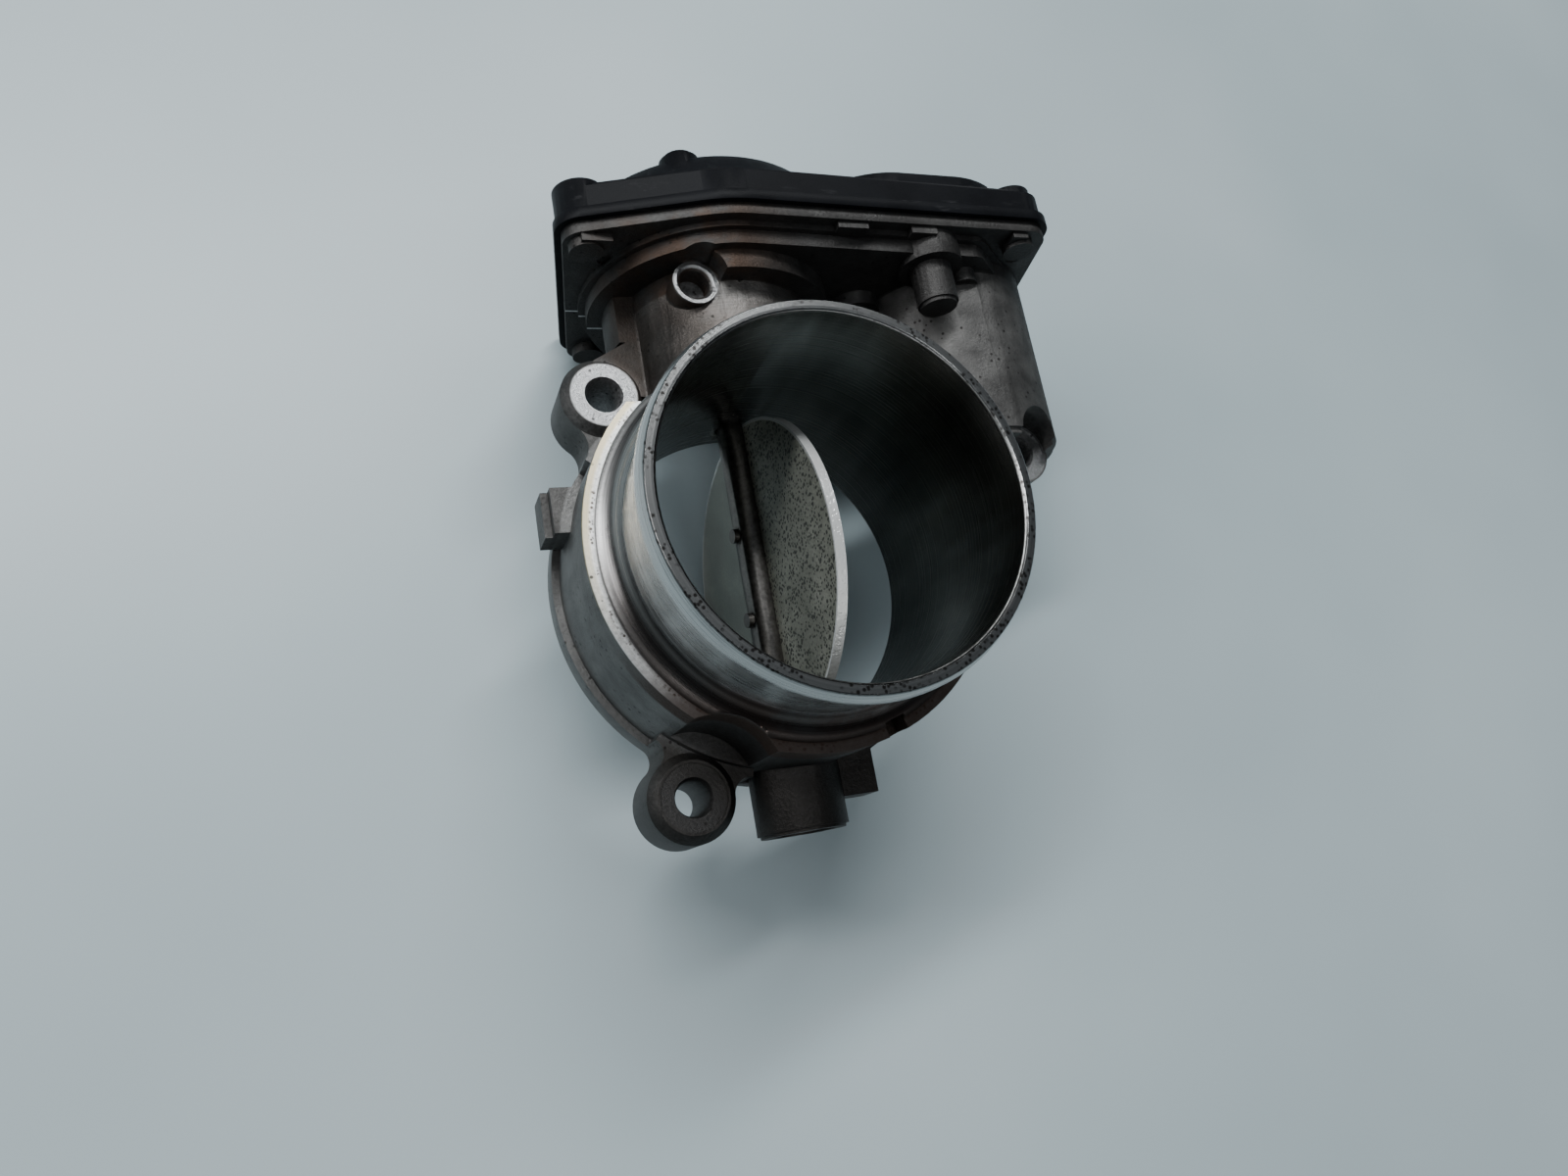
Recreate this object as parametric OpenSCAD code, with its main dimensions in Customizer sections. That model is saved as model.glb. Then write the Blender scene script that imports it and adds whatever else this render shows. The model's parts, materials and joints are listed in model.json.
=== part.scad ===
// Electric throttle body: cast aluminium housing, plastic gear cover,
// butterfly plate on a cross shaft, two-stage gear drive and a small motor.
// Origin: bore centre on the mounting face. +Z: towards the hose neck mouth.
// +Y: along the throttle shaft towards the gear cover. +X: towards the motor.

/* [Air path] */
// Outside radius of the hose neck at the mouth
neck_r = 35; // [34.6:0.1:36]
// Bore radius at the throttle plate
bore_r = 33; // [32:0.1:33]
// Height of the mouth above the mounting face
mouth_z = 56; // [54:0.5:60]
// Height of the machined collar above the mounting face
collar_z = 31; // [30:0.5:33]
// Outside radius of the machined collar
collar_r = 40.2; // [39.5:0.1:41]
// Radius of the mounting flange
flange_r = 41.7; // [41.4:0.1:43]

/* [Mounting ears] */
// Reach of the ear beside the gear case, bore axis to hole axis
ear_a_reach = 47.3; // [47:0.1:47.6]
// Direction of that ear, degrees above +X
ear_a_turn = 126.7; // [126:0.1:127.4]
// Reach of the ear at the bearing-cap side
ear_b_reach = 48.4; // [48:0.1:48.8]
// Direction of that ear, degrees above +X
ear_b_turn = 242.3; // [241.6:0.1:243]
// Reach of the ear at the end of the motor housing
ear_c_reach = 68.2; // [68:0.1:68.4]
// Direction of that ear, degrees above +X
ear_c_turn = 19.5; // [19.3:0.1:19.7]
// Outside radius of an ear
ear_r = 8.5; // [8:0.1:9]
// Thickness of an ear
ear_t = 14; // [12:0.5:15]
// Radius of the bolt holes, for M6 bolts
ear_hole_r = 3.3; // [3.2:0.1:3.5]

/* [Throttle] */
// Height of the shaft axis above the mounting face
shaft_z = 7; // [6.5:0.1:7.5]
// Radius of the throttle shaft
shaft_r = 3.5; // [3.4:0.1:3.6]
// Lean of the open plate away from the bore axis, in degrees
rest_lean = 4.3; // [2:0.1:8]
// Thickness of the throttle plate
plate_t = 2; // [1.6:0.1:2.2]
// Running gap between the plate rim and the bore
plate_gap = 0.5; // [0.4:0.05:0.8]

/* [Gear train] */
// Module of the sector gear and idler pinion
mod_slow = 1; // [1]
// Teeth of the sector gear, counted as a full circle
sector_teeth = 48; // [48]
// Teeth of the idler pinion
idler_pinion_teeth = 16; // [16]
// Module of the idler wheel and motor pinion
mod_fast = 0.8; // [0.8]
// Teeth of the idler wheel
idler_wheel_teeth = 48; // [48]
// Teeth of the motor pinion
motor_pinion_teeth = 14; // [14]
// Direction from the shaft to the idler, degrees above +X
idler_dir = 10; // [9.5:0.1:10.5]
// Direction from the idler to the motor, degrees above +X
motor_dir = -14.2; // [-14.6:0.1:-13.8]

/* [Gear case and cover] */
// Outer face of the gear case floor, along +Y
case_y = 60.5; // [60.2:0.1:60.8]
// Joint plane between housing and cover, along +Y
joint_y = 67; // [66.8:0.1:67.2]
// Flat outer face of the cover, along +Y
cover_y = 75.2; // [75:0.1:75.6]
// Outer face of the raised cover domes, along +Y
dome_y = 80; // [79.8:0.1:81]
// Radius of the case flange around the throttle shaft
case_r = 32; // [32:0.1:33]
// Outside radius of the motor housing
motor_house_r = 20.2; // [20:0.1:20.4]

/* [Hidden] */
$fn = 96;
eps = 0.01;
floor_y = case_y + 2.5;
flange_y = joint_y - 2.4;
head_y = joint_y + 4.2;
ear_a = polar(ear_a_reach, ear_a_turn);
ear_b = polar(ear_b_reach, ear_b_turn);
ear_c = polar(ear_c_reach, ear_c_turn);
idler = shaft_xz() + polar(mod_slow * (sector_teeth + idler_pinion_teeth) / 2, idler_dir);
motor = idler + polar(mod_fast * (idler_wheel_teeth + motor_pinion_teeth) / 2, motor_dir);
plate_r = bore_r - plate_gap;
flat_x = 0.7;
plate_screw_y = 9;
far_y = -52;
bearing_r = 5.5;
bearing_len = 10;
drive_bearing_y = 39;
end_bearing_y = -46.5;
shaft_end_y = 68;
spring_pocket_r = 15.4;
spring_pocket_y = 50.5;
spring_r = 13;
wire_r = 0.8;
can_r = 15.8;
can_y0 = 31.8;
sector_y0 = floor_y + 0.6;
sector_y1 = floor_y + 4.8;
wheel_y0 = floor_y + 5.4;
wheel_y1 = floor_y + 9.4;
open_stop = idler_dir + 101;
closed_stop = idler_dir - 102;
motor_screw_at = [motor + polar(19.5, 100), motor + polar(19.5, 220)];
screw_a = [-30.5, 25];
screw_b = [64, 31.8];
screw_c = [-22.8, -16.8];
screw_d = [30, -20.8];
screw_e = [74, -7.4];
stub = [42.6, 29];
cover_screws_at = [screw_a, screw_b, screw_c, screw_d, screw_e];
connector = [40, -9];
pin_pitch = 3.1;
pin_count = 6;

function shaft_xz() = [0, shaft_z];
function polar(r, a) = [r * cos(a), r * sin(a)];
// outer tangent direction of two corner circles [x, z, r]
function tangent(p, q) =
  let (d = [q[0] - p[0], q[1] - p[1]], b = acos((p[2] - q[2]) / norm(d)))
  polar(1, atan2(d[1], d[0]) - b);
function spot(c, n) = [c[0] + (c[2] - 0.02) * n[0], c[1] + (c[2] - 0.02) * n[1]];

// straight bars along Y with a profile drawn in X and Z
module bar(y0, y1) {
  translate([0, y1, 0]) rotate([90, 0, 0]) linear_extrude(y1 - y0) children();
}
module rod(c, r, y0, y1) {
  bar(y0, y1) translate(c) circle(r = r);
}
module block(x0, x1, y0, y1, z0, z1) {
  translate([x0, y0, z0]) cube([x1 - x0, y1 - y0, z1 - z0]);
}
module post(c, r, z0, z1) {
  translate([c[0], c[1], z0]) cylinder(r = r, h = z1 - z0);
}

// a closed belt drawn round corner circles, counter-clockwise
module belt(cs, grow = 0) {
  g = [for (c = cs) [c[0], c[1], c[2] + grow]];
  n = len(g);
  for (c = g) translate([c[0], c[1]]) circle(r = c[2]);
  polygon([for (i = [0:n - 1])
    let (j = (i + 1) % n, t = tangent(g[i], g[j]))
    each [spot(g[i], t), spot(g[j], t)]]);
}
module case_outline(grow = 0) {
  belt([
    [motor[0], motor[1], case_r - 10.5],
    [64.8, 31, 6.8],
    [0, shaft_z, case_r],
    [screw_a[0], screw_a[1], 5.5],
    [screw_c[0], screw_c[1], 5.5],
    [0, shaft_z, case_r],
  ], grow);
  for (s = [screw_d, screw_e]) translate(s) circle(r = 5 + grow);
}
module pocket_outline(grow = 0) {
  belt([
    [motor[0], motor[1], 16.8],
    [52, 28.5, 3],
    [0, shaft_z, 26],
  ], grow);
}

// spur gear outline with straight-flanked teeth; a gap lies at angle "gap_at"
module gear_outline(m, teeth, gap_at) {
  pr = m * teeth / 2;
  step = 360 / teeth;
  half = (PI * m / 4 - 0.07) / pr * 180 / PI;
  rise = m * 0.33 / pr * 180 / PI;
  polygon([for (i = [0:teeth - 1])
    let (a = gap_at + step * (i + 0.5))
    each [
      polar(pr - 1.25 * m, a - half - 1.15 * rise),
      polar(pr + 0.95 * m, a - half + rise),
      polar(pr + 0.95 * m, a + half - rise),
      polar(pr - 1.25 * m, a + half + 1.15 * rise),
    ]]);
}

// concave corner between two outside circles
module corner_fill(a, ra, b, rb, rf, side) {
  d = b - a;
  l = norm(d);
  pa = ra + rf;
  pb = rb + rf;
  t = acos((pa * pa + l * l - pb * pb) / (2 * pa * l));
  f = a + polar(pa, atan2(d[1], d[0]) + side * t);
  difference() {
    polygon([a, b, f]);
    translate(f) circle(r = rf + 0.05);
  }
}

// ---------- housing ----------
module neck_profile() {
  foot_r = 38.2;
  waist_r = neck_r - 1;
  difference() {
    polygon([
      [20, 2],
      [foot_r, 2],
      [foot_r, collar_z],
      [foot_r, collar_z + 0.4],
      [waist_r, collar_z + 4.6],
      [waist_r, mouth_z - 7],
      [neck_r + 0.8, mouth_z - 4.2],
      [neck_r + 0.8, mouth_z - 2.6],
      [neck_r + 0.1, mouth_z - 0.2],
      [neck_r - 0.1, mouth_z],
      [20, mouth_z],
    ]);
    translate([foot_r + 1.4, collar_z + 5.6]) circle(r = 5.2);
  }
}
module ear_plan() {
  translate(ear_a) circle(r = ear_r);
  translate(ear_b) circle(r = ear_r);
  for (s = [-1, 1]) {
    corner_fill([0, 0], flange_r, ear_b, ear_r, 3.2, s);
    corner_fill([0, 0], flange_r, ear_a, ear_r, 5, s);
  }
}
module housing_outside() {
  cylinder(r = flange_r, h = 5);
  cylinder(r = collar_r, h = 22);
  difference() {
    cylinder(r = collar_r, h = collar_z);
    block(-50, 50, 28.1, 50, 22, 40);
  }
  rotate_extrude() neck_profile();
  linear_extrude(ear_t - 2) ear_plan();
  for (e = [ear_a, ear_b])
    translate([e[0], e[1], ear_t - 2]) cylinder(r1 = ear_r, r2 = ear_r - 1.6, h = 2);
  // arm and boss of the motor-side ear
  post(ear_c, ear_r - 1.1, 0, ear_t);
  linear_extrude(10) polygon([[24, 6], [60.4, 15.6], [60.5, 30], [30, 34]]);
  // shaft boss, stepped spring housing and gear case
  rod([0, shaft_z], 20, 24, case_y + 1);
  intersection() {
    rod([0, shaft_z], 25, 56.5, case_y + 1);
    block(-6.5, 40, 50, 70, -30, 50);
  }
  intersection() {
    rod([0, shaft_z], 24, 50, case_y + 0.5);
    block(-30, -4, 40, 70, -20, 13);
  }
  bar(case_y, 63.4) pocket_outline(1.2);
  bar(63.4, flange_y) pocket_outline(2.6);
  bar(flange_y, joint_y) case_outline(-1);
  for (s = cover_screws_at) rod(s, 3.4, joint_y - 4.4, flange_y + 1);
  // bearing boss on the far side
  rod([0, shaft_z], 9, far_y + 0.6, -28);
  rod([0, shaft_z], 8.4, far_y, -28);
  block(6, 15.5, -46.5, -30, 3, 11);
  // motor housing with a stepped closed end
  rod(motor, motor_house_r, 23.6, flange_y + 0.5);
  rod(motor, motor_house_r - 0.9, 22.4, 30);
  rod(motor, motor_house_r - 2.4, 21.5, 30);
  block(36, 58, 24, 40, 1, 9);
  // arm from the first ear to the drum, and a web under the gear case
  translate([0, 0, 1]) linear_extrude(12)
    polygon([[-34, 40], [-29.1, 46], [-22, 50], [-8, 52.4], [-8, 36]]);
  block(-19, 40, 52, case_y + 1, 0, 8);
  // screw boss, pin boss and idler boss
  post([-9.8, 56.1], 4.65, 10, 26.4);
  rod(stub, 4.4, 50.8, flange_y + 0.5);
  rod(stub, 3.9, 50, 52);
  rod(stub, 7, 59.2, flange_y + 0.5);
  rod(idler, 5.5, 57.5, case_y + 1);
  for (s = motor_screw_at) rod(s, 3, case_y - 3, case_y + 1);
  // raised pads along the back of the case flange
  block(-32, -26, flange_y - 1.6, flange_y + 0.5, 26, 29);
  block(18.6, 25.4, flange_y - 1.4, flange_y + 0.5, 33.6, 36.9);
  block(35.5, 41.5, flange_y - 1.6, flange_y + 0.5, 34, 36.6);
  block(60.5, 64.2, flange_y - 1.2, flange_y + 0.5, 33, 36.2);
  // two-step lug on the drum
  block(-43.6, -36, 8.2, 17.2, 8, 15);
  block(-42.2, -36, 8.2, 17.2, 8, 17.6);
}
module seal_groove() {
  difference() {
    pocket_outline(2.75);
    pocket_outline(1.05);
  }
}
module throttle_housing() color("silver") difference() {
  housing_outside();
  // air bore
  post([0, 0], bore_r, -40, mouth_z + 1);
  translate([0, 0, mouth_z - 0.5]) cylinder(r1 = bore_r, r2 = bore_r + 0.6, h = 0.6);
  // bolt holes, lead-ins and spot faces
  for (e = [ear_a, ear_b, ear_c]) {
    post(e, ear_hole_r, -1, ear_t + 1);
    translate([e[0], e[1], ear_t - 1.6]) cylinder(r1 = ear_hole_r, r2 = ear_hole_r + 0.6, h = 1.61);
  }
  post(ear_b, 12, ear_t, collar_z + 6);
  post(ear_a, 9.6, ear_t, collar_z + 2);
  post(ear_c, 6.2, ear_t, 40);
  post(ear_b, 6.4, ear_t - 0.3, ear_t + 1);
  // keyway notch in the collar
  rotate([0, 0, -72]) block(37.4, 42, -2.1, 2.1, collar_z - 5, collar_z + 1);
  // flat mounting face: nothing below it near the flange and the ears
  post([0, 0], 44, -40, 0);
  block(-14, 14, -60, -30, -12, 0);
  difference() {
    post(ear_c, 9.4, -40, 0);
    block(40, 90, 29.6, 60, -41, 1);
  }
  // shaft, seal and bearing bores
  rod([0, shaft_z], shaft_r + 0.3, far_y + 1, joint_y);
  rod([0, shaft_z], bearing_r, 34.8, 49.5);
  rod([0, shaft_z], bearing_r, end_bearing_y - 2, -36.4);
  rod([0, shaft_z], 6.2, far_y - 1, end_bearing_y - 2);
  // spring pocket round the bearing tube
  difference() {
    rod([0, shaft_z], spring_pocket_r, spring_pocket_y, floor_y + 1);
    rod([0, shaft_z], 8, spring_pocket_y - 1, 57);
  }
  rod([0, shaft_z], 5.5, 49, 58);
  // gear pocket with two end stops left standing
  difference() {
    bar(floor_y, joint_y + 1) pocket_outline();
    for (a = [open_stop, closed_stop]) translate([0, 0, shaft_z]) rotate([0, -a, 0])
      block(18.4, 27, floor_y - 1, floor_y + 3.4, -1.5, 1.5);
  }
  bar(joint_y - 1.3, joint_y + 1) seal_groove();
  // motor bore with its rear bearing seat
  rod(motor, can_r + 0.3, can_y0 - 0.6, floor_y + 1);
  rod(motor, 4.6, can_y0 - 3.4, can_y0);
  // idler pin, cover screws and motor screws
  rod(idler, 2, 58.5, floor_y + 1);
  for (s = cover_screws_at) rod(s, 1.7, joint_y - 3.4, joint_y + 1);
  for (s = motor_screw_at) rod(s, 1.25, case_y - 2, floor_y + 1);
  // drilled screw boss with a clear way in from above
  post([-9.8, 56.1], 5.2, 26.4, 44);
  post([-9.8, 56.1], 3.1, 21.6, 30);
  translate([-9.8, 56.1, 25.6]) cylinder(r1 = 3.1, r2 = 4.1, h = 1);
  // mould marks
  rod([-25.6, 19.8], 1.6, flange_y - 0.5, flange_y + 0.3);
  rod([66.6, 26.2], 1.6, flange_y - 0.5, flange_y + 0.3);
}

// ---------- cover ----------
module cover_cavity() {
  bar(joint_y - 1, cover_y - 2.2) pocket_outline(0.9);
  rod([0, shaft_z], 25.8, joint_y, dome_y - 2.2);
  rod([46, 14], 16.6, joint_y, dome_y - 2.2);
}
module connector_shell(grow = 0) {
  belt([for (p = [[1, -1], [1, 1], [-1, 1], [-1, -1]])
    [connector[0] + p[0] * 9.4, connector[1] + p[1] * 3.6, 2 + grow]]);
}
module gear_cover() color([0.09, 0.09, 0.1]) difference() {
  union() {
    bar(joint_y, joint_y + 2.2) case_outline(0.3);
    bar(joint_y + 2.2, cover_y - 1) case_outline(-0.6);
    bar(cover_y - 1, cover_y) case_outline(-1.5);
    translate([0, cover_y - 1, shaft_z]) rotate([-90, 0, 0])
      cylinder(r1 = 30, r2 = 27.5, h = dome_y - cover_y + 1);
    bar(cover_y - 1, dome_y - 1) belt([[50, 14, 20.5], [37, 14, 20.5]]);
    bar(cover_y - 1, dome_y) belt([[50, 14, 19], [37, 14, 19]]);
    rod([-10, 29], 4.1, dome_y - 3, dome_y + 1.6);
    rod([-10, 29], 3.3, dome_y - 3, dome_y + 2.4);
    for (s = cover_screws_at) rod(s, 5.2, joint_y + 1, cover_y + 0.8);
    bar(cover_y - 1, 96) connector_shell(2);
    for (s = [-1, 1]) block(connector[0] + s * 7 - 1, connector[0] + s * 7 + 1, cover_y, 90, -1.6, 1);
  }
  difference() {
    cover_cavity();
    rod(idler, 4, cover_y - 2.4, dome_y - 1);
  }
  rod(idler, 2.05, cover_y - 3, cover_y - 1);
  bar(81, 97) connector_shell();
  for (s = cover_screws_at) {
    rod(s, 2.2, joint_y - 1, head_y + 1);
    rod(s, 3.8, head_y, dome_y + 3);
  }
  pin_slots();
}
module pin_slots() {
  for (i = [0:pin_count - 1])
    translate([connector[0] + (i - (pin_count - 1) / 2) * pin_pitch, 0, connector[1]])
      block(-0.4, 0.4, 72, 82, -0.4, 0.4);
}
module cover_seal() color([0.12, 0.12, 0.12]) {
  bar(joint_y - 1.3, joint_y) difference() {
    pocket_outline(2.6);
    pocket_outline(1.2);
  }
}
module cover_screws() color("gray") for (s = cover_screws_at) difference() {
  union() {
    rod(s, 1.7, joint_y - 3.2, head_y + 0.1);
    rod(s, 3.4, head_y, head_y + 3.2);
    rod(s, 3, head_y, head_y + 3.8);
  }
  bar(head_y + 1.8, head_y + 5) translate(s) circle(r = 1.9, $fn = 6);
}
module connector_pins() color("gold") for (i = [0:pin_count - 1])
  translate([connector[0] + (i - (pin_count - 1) / 2) * pin_pitch, 0, connector[1]]) {
    block(-0.4, 0.4, 71.6, 91, -0.4, 0.4);
    block(-0.25, 0.25, 90.9, 92, -0.25, 0.25);
  }

// ---------- throttle shaft group, drawn in the open rest pose ----------
module lean() {
  translate([0, 0, shaft_z]) rotate([0, rest_lean, 0]) children();
}
module throttle_shaft() color([0.32, 0.31, 0.3]) lean() difference() {
  rod([0, 0], shaft_r, -46, shaft_end_y);
  block(flat_x, 10, -bore_r - 0.6, bore_r + 0.6, -10, 10);
  for (s = [-1, 1]) translate([-10, s * plate_screw_y, 0]) rotate([0, 90, 0]) cylinder(r = 1.5, h = 20);
  for (s = [-1, 1]) block(s * 5 - 2.3, s * 5 + 2.3, 62.4, 80, -10, 10);
  rod([0, 0], 1.1, shaft_end_y - 1.6, shaft_end_y + 1);
  rod([0, 0], 1.1, -47, -44.6);
}
module throttle_plate() color([0.62, 0.62, 0.58]) lean() difference() {
  translate([flat_x, 0, 0]) rotate([0, 90, 0]) cylinder(r = plate_r, h = plate_t);
  for (s = [-1, 1]) translate([0, s * plate_screw_y, 0]) rotate([0, 90, 0]) cylinder(r = 1.5, h = 9);
  for (s = [-1, 1]) translate([0, s * plate_screw_y, 0]) rotate([0, 90, 0])
    translate([0, 0, flat_x + plate_t - 0.5]) cylinder(r1 = 1.5, r2 = 2.01, h = 0.51);
}
module plate_screws() color([0.25, 0.25, 0.24]) lean() for (s = [-1, 1])
  translate([0, s * plate_screw_y, 0]) rotate([0, 90, 0]) difference() {
    union() {
      translate([0, 0, -4.3]) cylinder(r = 1.5, h = 8);
      translate([0, 0, flat_x + plate_t]) cylinder(r = 3, h = 1.3);
      translate([0, 0, flat_x + plate_t + 1.3]) cylinder(r1 = 3, r2 = 1.9, h = 0.8);
    }
    for (a = [0, 90]) rotate([0, 0, a]) translate([-1.7, -0.35, flat_x + plate_t + 0.9]) cube([3.4, 0.7, 3]);
  }
module needle_shell(y0) {
  difference() {
    rod([0, shaft_z], bearing_r, y0, y0 + bearing_len);
    rod([0, shaft_z], 4.9, y0 + 0.6, y0 + bearing_len - 0.6);
    rod([0, shaft_z], 4.1, y0 - 1, y0 + bearing_len + 1);
  }
}
module needles(y0) {
  for (i = [0:13]) rod([0, shaft_z] + polar(4.2, i * 360 / 14), 0.68, y0 + 0.8, y0 + bearing_len - 0.8);
}
module drive_bearing_shell() color("lightgray") needle_shell(drive_bearing_y);
module drive_bearing_needles() color("gray") needles(drive_bearing_y);
module end_bearing_shell() color("lightgray") needle_shell(end_bearing_y);
module end_bearing_needles() color("gray") needles(end_bearing_y);
module shaft_seal() color([0.1, 0.1, 0.1]) difference() {
  rod([0, shaft_z], bearing_r, 34.8, 38.6);
  rod([0, shaft_z], shaft_r + 0.06, 34, 36);
  rod([0, shaft_z], 4.5, 35.6, 40);
}
module end_plug() color("lightgray") difference() {
  rod([0, shaft_z], 6.2, far_y + 0.4, end_bearing_y - 2);
  rod([0, shaft_z], 4.8, far_y - 1, far_y + 1.2);
}
module sector_gear() color([0.16, 0.16, 0.17]) translate([0, 0, shaft_z]) difference() {
  union() {
    bar(sector_y0, sector_y1) intersection() {
      gear_outline(mod_slow, sector_teeth, idler_dir);
      union() {
        polygon([
          [0, 0],
          polar(40, idler_dir - 14.4),
          polar(56, idler_dir + 18),
          polar(56, idler_dir + 62),
          polar(40, idler_dir + 95),
        ]);
        circle(r = 13);
      }
    }
    rod([0, 0], 10.2, floor_y - 0.4, floor_y + 9.4);
  }
  rod([0, 0], 5.4, floor_y - 1, sector_y0 + 2);
  rod([0, 0], 4.2, floor_y, shaft_end_y + 0.4);
  rod([0, 0], 8.4, shaft_end_y + 0.2, floor_y + 10);
  for (a = [24, 50, 76]) rod(polar(17.4, idler_dir + a - 10), 3.2, floor_y, joint_y + 2);
}
module gear_insert() color("darkgray") translate([0, 0, shaft_z]) difference() {
  union() {
    rod([0, 0], 4.2, sector_y0 + 2, shaft_end_y + 0.2);
    rod([0, 0], 5.4, sector_y0, sector_y0 + 2);
  }
  rotate([0, rest_lean, 0]) intersection() {
    rod([0, 0], shaft_r, 60, 80);
    block(-2.7, 2.7, 60, 80, -10, 10);
  }
}
module sensor_magnet() color([0.2, 0.2, 0.22]) difference() {
  rod([0, shaft_z], 8.4, shaft_end_y + 0.2, floor_y + 9.4);
  rod([0, shaft_z], 5.2, shaft_end_y, floor_y + 10);
}
module return_spring() color([0.5, 0.5, 0.5]) translate([0, 0, shaft_z]) {
  translate([0, 61.2, 0]) rotate([90, 0, 0])
    linear_extrude(height = 9, twist = 1620, slices = 135, $fn = 12)
      translate([spring_r, 0]) circle(r = wire_r, $fn = 12);
  translate([spring_r, 61.2 + 1.4, 0]) rotate([90, 0, 0]) cylinder(r = wire_r, h = 2.2, $fn = 16);
  rotate([0, 90, 0]) translate([0, 52.2, -spring_r - 1.9]) cylinder(r = wire_r, h = 2.1, $fn = 16);
}
module spring_bush() color([0.75, 0.73, 0.66]) difference() {
  union() {
    rod([0, shaft_z], 10.6, spring_pocket_y + 0.4, 60.6);
    rod([0, shaft_z], 11.6, 60.6, 61.8);
  }
  rod([0, shaft_z], 8.3, spring_pocket_y, 58.4);
  rod([0, shaft_z], 6, 57, 63);
}

// ---------- idler ----------
module idler_gear() color([0.82, 0.8, 0.72]) difference() {
  union() {
    bar(sector_y0, wheel_y0 + 0.1) translate(idler)
      gear_outline(mod_slow, idler_pinion_teeth, idler_dir + 180 + 180 / idler_pinion_teeth);
    bar(wheel_y0, wheel_y1) translate(idler) gear_outline(mod_fast, idler_wheel_teeth, motor_dir);
  }
  rod(idler, 2.06, floor_y, joint_y + 8);
  difference() {
    rod(idler, 16.4, wheel_y1 - 1.2, wheel_y1 + 1);
    rod(idler, 5.6, floor_y, wheel_y1 + 2);
  }
  for (i = [0:4]) rod(idler + polar(12.4, 72 * i + 20), 2.4, wheel_y0 - 1, wheel_y1 + 1);
}
module idler_axle() color("lightgray") rod(idler, 2, 58.5, cover_y - 1.4);

// ---------- motor ----------
module motor_can() color("lightgray") difference() {
  union() {
    rod(motor, can_r, can_y0, floor_y - 0.2);
    rod(motor, 4.4, can_y0 - 2.8, can_y0 + 0.1);
  }
  rod(motor, can_r - 1, can_y0 + 1, floor_y);
  rod(motor, 3.2, can_y0 - 1.9, can_y0 + 2);
  for (a = [0, 180]) rod(motor + polar(10.5, a + 30), 1.6, can_y0 - 1, can_y0 + 2);
}
module motor_rear_bush() color([0.7, 0.5, 0.3]) difference() {
  rod(motor, 3.2, can_y0 - 1.9, can_y0 + 1.6);
  rod(motor, 1.65, can_y0 - 3, can_y0 + 3);
}
module motor_washer() color("gray") difference() {
  rod(motor, 4.2, can_y0 - 3.35, can_y0 - 2.85);
  rod(motor, 2.2, can_y0 - 4, can_y0 - 2);
}
module motor_magnets() color([0.18, 0.18, 0.19]) for (s = [0, 180]) difference() {
  rod(motor, can_r - 1, 38, 55);
  rod(motor, 12.2, 37, 56);
  bar(37, 56) translate(motor) rotate(s + 90)
    polygon([[0, 0], polar(50, 65), polar(60, 110), polar(60, 180), polar(60, 250), polar(50, 295)]);
}
module armature_slots() {
  for (i = [0:4]) translate(motor) rotate(72 * i) union() {
    translate([10.4, 0]) square([3, 1.6], center = true);
    translate([8.2, 0]) circle(r = 1.9, $fn = 24);
  }
}
module motor_rotor() color([0.4, 0.4, 0.42]) {
  difference() {
    union() {
      rod(motor, 1.6, can_y0 - 1.7, 74);
      bar(40, 53) difference() {
        translate(motor) circle(r = 11.6);
        armature_slots();
      }
    }
  }
}
module motor_windings() color([0.6, 0.3, 0.12]) difference() {
  union() {
    rod(motor, 9.6, 37, 39.9);
    rod(motor, 9.6, 53.1, 55.6);
  }
  rod(motor, 1.6, 30, 70);
}
module commutator() color([0.65, 0.38, 0.2]) difference() {
  rod(motor, 4.2, 56, 60.4);
  rod(motor, 1.6, 50, 70);
  for (i = [0:4]) bar(50, 70) translate(motor) rotate(36 + 72 * i)
    translate([4.2, 0]) square([1.2, 0.4], center = true);
}
module brush_holder() color([0.85, 0.84, 0.8]) difference() {
  rod(motor, can_r - 1.1, 57, 59.4);
  rod(motor, 4.8, 50, 70);
  for (s = [0, 180]) bar(50, 70) translate(motor) rotate(s)
    translate([7.6, 0]) square([6, 3.2], center = true);
  rod(motor + polar(11, 90), 1.8, 50, 70);
  rod(motor + polar(11, -90), 1.8, 50, 70);
}
module motor_brushes() color([0.12, 0.12, 0.12]) for (s = [0, 180])
  bar(57, 59.4) translate(motor) rotate(s) translate([7.5, 0]) square([5.6, 3.2], center = true);
module motor_end_plate() color("silver") difference() {
  union() {
    intersection() {
      rod(motor, 16.4, floor_y, floor_y + 1.6);
      block(idler[0] + 9.6, 90, 50, 80, -30, 50);
    }
    for (s = motor_screw_at) rod(s, 3, floor_y, floor_y + 1.6);
    for (a = [100, 220]) bar(floor_y, floor_y + 1.6) translate(motor) rotate(a)
      translate([8, -2.6]) square([11.5, 5.2]);
  }
  rod(motor, 3.2, 50, 80);
  for (s = motor_screw_at) rod(s, 1.25, 50, 80);
  for (s = [-1, 1]) rod(motor + [10.6, s * 4.4], 1.5, 50, 80);
}
module motor_front_bush() color([0.7, 0.5, 0.3]) difference() {
  rod(motor, 3.2, floor_y - 1.2, floor_y + 2.2);
  rod(motor, 1.65, 50, 80);
}
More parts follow.
